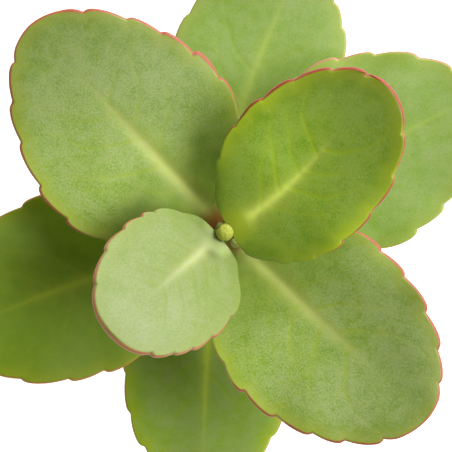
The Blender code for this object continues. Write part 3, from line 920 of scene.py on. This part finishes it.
def make_soil():
    """A plug of potting mix: a lumpy top drawn down to the pot's floor and closed."""
    mesh = bmesh.new()
    bmesh.ops.create_grid(mesh, x_segments=SOIL_CELLS, y_segments=SOIL_CELLS, size=1.0)
    rim = [edge for edge in mesh.edges if edge.is_boundary]
    top = list(mesh.verts)
    radius = pot_inner_radius(SOIL_EDGE) - SOIL_SIDE_GAP
    for vert in top:
        x, y = disc_place(*vert.co.xy)
        vert.co.xy = x * radius, y * radius
        vert.co.z = soil_height(vert.co.x, vert.co.y)
    bottom = POT_FLOOR + GAP
    foot = (pot_inner_radius(bottom) - GAP) / radius
    for height, shrink in ((SOIL_EDGE - 2 * MM, 0.995), (bottom, foot)):
        rim, verts = extruded(mesh, rim)
        for vert in verts:
            around = vert.co.xy.normalized() * radius * shrink
            vert.co = (around.x, around.y, height)
    bmesh.ops.holes_fill(mesh, edges=rim, sides=0)
    bmesh.ops.recalc_face_normals(mesh, faces=mesh.faces)
    return settle(new_piece("potting_mix_plug", mesh, soil_material()), "potting_mix", "soil")


def scatter(name, count, sizes, flatness, material, seed):
    """Small bits lying on the potting mix, each with a few dozen faces."""
    random = np.random.default_rng(seed)
    mesh = bmesh.new()
    reach = pot_inner_radius(SOIL_EDGE) - 2 * MM
    for _ in range(count):
        size = random.uniform(*sizes)
        far, angle = reach * math.sqrt(random.uniform(0.02, 1)), random.uniform(0, math.tau)
        x, y = far * math.cos(angle), far * math.sin(angle)
        turn = Matrix.Rotation(random.uniform(0, math.tau), 4, "Z")
        tip = Matrix.Rotation(random.uniform(-0.5, 0.5), 4, "X")
        shape = Matrix.Diagonal((1, random.uniform(0.5, 0.9), flatness * random.uniform(0.7, 1.2), 1))
        spot = Matrix.Translation((x, y, soil_height(x, y) + size * flatness * 0.35))
        made = bmesh.ops.create_icosphere(mesh, subdivisions=2, radius=size, matrix=spot @ turn @ tip @ shape)
        middle = spot.translation
        for vert in made["verts"]:
            bump = noise.noise(vert.co * 1400 + Vector((seed, 0, 0)))
            vert.co = middle + (vert.co - middle) * (1 + 0.35 * bump)
    bmesh.ops.recalc_face_normals(mesh, faces=mesh.faces)
    return settle(new_piece(name, mesh, material, smooth=False), "potting_mix")


def bit_material(name, light, dark, roughness):
    """One kind of bit in the potting mix."""
    material, tree, surface = new_material(name)
    pores = grain(tree, 0.4 * MM, detail=3)
    patches = grain(tree, 3 * MM, detail=1)
    colour = blend(tree, spread(tree, pores, 0.35, 0.65), dark, light)
    colour = blend(tree, spread(tree, patches, 0.5, 0.7, 0.0, 0.5), colour, dark)
    adjust(surface, {"Base Color": colour, "Roughness": roughness, "Normal": dent(tree, pores, 0.15 * MM)})
    return material


def make_bits():
    """Bark chips, crumbs of mix and white perlite."""
    bark = bit_material("bark", (0.20, 0.10, 0.045), (0.065, 0.033, 0.018), 0.9)
    crumb = bit_material("crumb", (0.085, 0.052, 0.03), (0.03, 0.018, 0.011), 0.95)
    perlite = bit_material("perlite", (0.80, 0.78, 0.72), (0.62, 0.58, 0.50), 0.8)
    scatter("bark_chips", 90, (0.7 * MM, 1.7 * MM), 0.35, bark, 11)
    scatter("mix_crumbs", 260, (0.3 * MM, 0.8 * MM), 0.8, crumb, 12)
    scatter("perlite_grains", 46, (0.4 * MM, 0.95 * MM), 0.8, perlite, 13)


# --- Pot ---

POT_SIDES = 144
POT_EDGE_ROUND = 0.9 * MM
CUTTER_TURN = 0.04          # in radians, so that no corner of a cutter meets the pot's own edges


def clay_material():
    """Unglazed clay: mottled, with lime bloom, damp low down inside and fine turning lines."""
    material, tree, surface = new_material("clay")
    split = tree.nodes.new("ShaderNodeSeparateXYZ")
    feed(split.inputs[0], place(tree))
    height = split.outputs["Z"]
    patches = grain(tree, 14 * MM, detail=4, warp=0.5)
    mottle = grain(tree, 2.5 * MM, detail=4, roughness=0.6)
    sand = grain(tree, 0.35 * MM, detail=3, roughness=0.7)
    colour = blend(tree, spread(tree, mottle, 0.3, 0.7), (0.47, 0.175, 0.082), (0.58, 0.245, 0.125))
    colour = blend(tree, spread(tree, patches, 0.5, 0.72, 0.0, 0.45), colour, (0.66, 0.40, 0.26))
    lime = times(tree, spread(tree, patches, 0.42, 0.62), spread(tree, sand, 0.45, 0.62))
    ring = times(tree, lime, spread(tree, height, 6 * MM, 20 * MM, 0.55, 0.15))
    colour = blend(tree, ring, colour, (0.78, 0.68, 0.58))
    colour = blend(tree, spread(tree, sand, 0.62, 0.78, 0.0, 0.5), colour, (0.30, 0.11, 0.055))
    damp = times(tree, stored(tree, "inside"), spread(tree, height, SOIL_EDGE, POT_TOP, 0.75, 0.1))
    colour = blend(tree, damp, colour, (0.20, 0.085, 0.045))
    turning = calc(tree, "SINE", times(tree, height, math.tau / (1.1 * MM)))
    turning = times(tree, turning, spread(tree, patches, 0.35, 0.6, 0.02, 0.10))
    relief = calc(tree, "ADD", turning, times(tree, sand, 0.7))
    adjust(surface, {
        "Base Color": colour, "Roughness": spread(tree, mottle, 0.3, 0.7, 0.78, 0.92),
        "Specular IOR Level": 0.3, "Normal": dent(tree, relief, 0.16 * MM, 0.8)})
    return material


def rounded(corners, radius, steps=4):
    """An outline with each inner corner replaced by a small curve."""
    points = [Vector(corners[0])]
    for before, corner, after in zip(corners, corners[1:], corners[2:]):
        before, corner, after = Vector(before), Vector(corner), Vector(after)
        start = corner + (before - corner).normalized() * radius
        end = corner + (after - corner).normalized() * radius
        for step in range(steps + 1):
            share = step / steps
            points.append(start.lerp(corner, share).lerp(corner.lerp(end, share), share))
    return [*points, Vector(corners[-1])]


def make_pot():
    """The pot, turned from its outline, a little uneven, with its drain holes cut."""
    band = POT_TOP - RIM_BAND_HEIGHT
    body = pot_inner_radius(band) + POT_WALL
    corners = [(0, 0), (POT_FOOT_RADIUS, 0), (body, band), (body + RIM_BAND_STEP, band),
               (POT_RIM_RADIUS, POT_TOP), (pot_inner_radius(POT_TOP), POT_TOP),
               (pot_inner_radius(POT_FLOOR), POT_FLOOR), (0, POT_FLOOR)]
    mesh = bmesh.new()
    verts = [mesh.verts.new((radius, 0, height)) for radius, height in rounded(corners, POT_EDGE_ROUND)]
    edges = [mesh.edges.new(pair) for pair in zip(verts, verts[1:])]
    longest = [edge for edge in edges if edge.calc_length() > 8 * MM]
    bmesh.ops.subdivide_edges(mesh, edges=longest, cuts=14)
    bmesh.ops.spin(mesh, geom=list(mesh.verts) + list(mesh.edges), cent=(0, 0, 0), axis=(0, 0, 1),
                   angle=math.tau, steps=POT_SIDES, use_merge=True)
    bmesh.ops.remove_doubles(mesh, verts=mesh.verts, dist=1e-6)
    bmesh.ops.recalc_face_normals(mesh, faces=mesh.faces)
    inside = mesh.verts.layers.float.new("inside")
    for vert in mesh.verts:
        radius = vert.co.xy.length
        wall = pot_inner_radius(vert.co.z) + POT_WALL / 3
        vert[inside] = 1.0 if POT_FLOOR * 0.9 < vert.co.z and radius < wall else 0.0
        if radius > 1 * MM and vert.co.z > 0.5 * MM:
            hand = noise.noise(Vector((vert.co.x * 35, vert.co.y * 35, vert.co.z * 60)))
            vert.co.xy *= 1 + 0.004 * hand
    pot = new_piece("clay_pot", mesh, clay_material())
    for number in range(DRAIN_HOLE_COUNT):
        cut_drain_hole(pot, number)
    return settle(pot, "clay", "pot")


def cut_drain_hole(pot, number):
    """Cut one round hole through the floor."""
    angle = math.tau * (number + 0.25) / DRAIN_HOLE_COUNT
    centre = (DRAIN_HOLE_RING * math.cos(angle), DRAIN_HOLE_RING * math.sin(angle), POT_FLOOR / 2)
    mesh = bmesh.new()
    bmesh.ops.create_cone(mesh, cap_ends=True, segments=40, radius1=DRAIN_HOLE_RADIUS,
                          radius2=DRAIN_HOLE_RADIUS, depth=3 * POT_FLOOR,
                          matrix=Matrix.Translation(centre) @ Matrix.Rotation(CUTTER_TURN, 4, "Z"))
    cutter = add_object("drain_hole_cutter", mesh_data(mesh, "drain_hole_cutter"))
    hole = pot.modifiers.new("drain_hole", "BOOLEAN")
    hole.operation = "DIFFERENCE"
    hole.object = cutter
    apply_modifiers(pot)
    bpy.data.objects.remove(cutter)


# --- Stage ---

CAMERA_PLACE = (2.9 * MM, -2.9 * MM, 320 * MM)
CAMERA_LENS_MM = 100
SOFTBOX_WIDTH = 32
SOFTBOXES = (
    # name, heading, elevation, strength
    ("softbox_right", 2, 47, 2.25),
    ("softbox_between", 45, 42, 1.1),
    ("softbox_back", 60, 22, 1.9),
)
FILL = 0.15
FILL_COLOUR = (1.0, 0.98, 0.50)
BACKDROP = 0.92
BACKDROP_COLOUR = (0.96, 0.98, 1.0)
FLOOR_GLOW = 0.7


def make_stage():
    """A plain white floor in a pale room, lit softly from the right and the back."""
    mesh = bmesh.new()
    bmesh.ops.create_grid(mesh, x_segments=1, y_segments=1, size=2.0,
                          matrix=Matrix.Translation((0, 0, -0.1 * MM)))
    material, _, surface = new_material("floor_white")
    adjust(surface, {"Base Color": (0.92, 0.92, 0.92), "Roughness": 0.9,
                     "Emission Color": (1.0, 1.0, 1.0), "Emission Strength": FLOOR_GLOW})
    floor = new_piece("floor", mesh, material, smooth=False)

    for name, heading, elevation, strength in SOFTBOXES:
        lamp = bpy.data.lights.new(name, "SUN")
        lamp.energy = strength
        lamp.angle = math.radians(SOFTBOX_WIDTH)
        turn = (math.radians(90 - elevation), 0, math.radians(90 + heading))
        add_object(name, lamp).rotation_euler = turn

    world = bpy.data.worlds.new("pale_room")
    world.use_nodes = True
    tree = world.node_tree
    seen = tree.nodes.new("ShaderNodeLightPath").outputs["Is Camera Ray"]
    adjust(tree.nodes["Background"], {"Color": blend(tree, seen, FILL_COLOUR, BACKDROP_COLOUR),
                                      "Strength": spread(tree, seen, 0, 1, FILL, BACKDROP)})
    bpy.context.scene.world = world


def make_camera():
    """A long lens straight above the shoot, with the frame's +Y at the top."""
    data = bpy.data.cameras.new("camera")
    data.lens = CAMERA_LENS_MM
    data.clip_start = 0.01
    camera = add_object("camera", data)
    camera.location = CAMERA_PLACE
    bpy.context.scene.camera = camera


make_leaves()
make_stem()
make_buds()
dress_roots()
make_soil()
make_bits()
make_pot()
make_stage()
make_camera()
bpy.context.scene.view_settings.view_transform = "Standard"
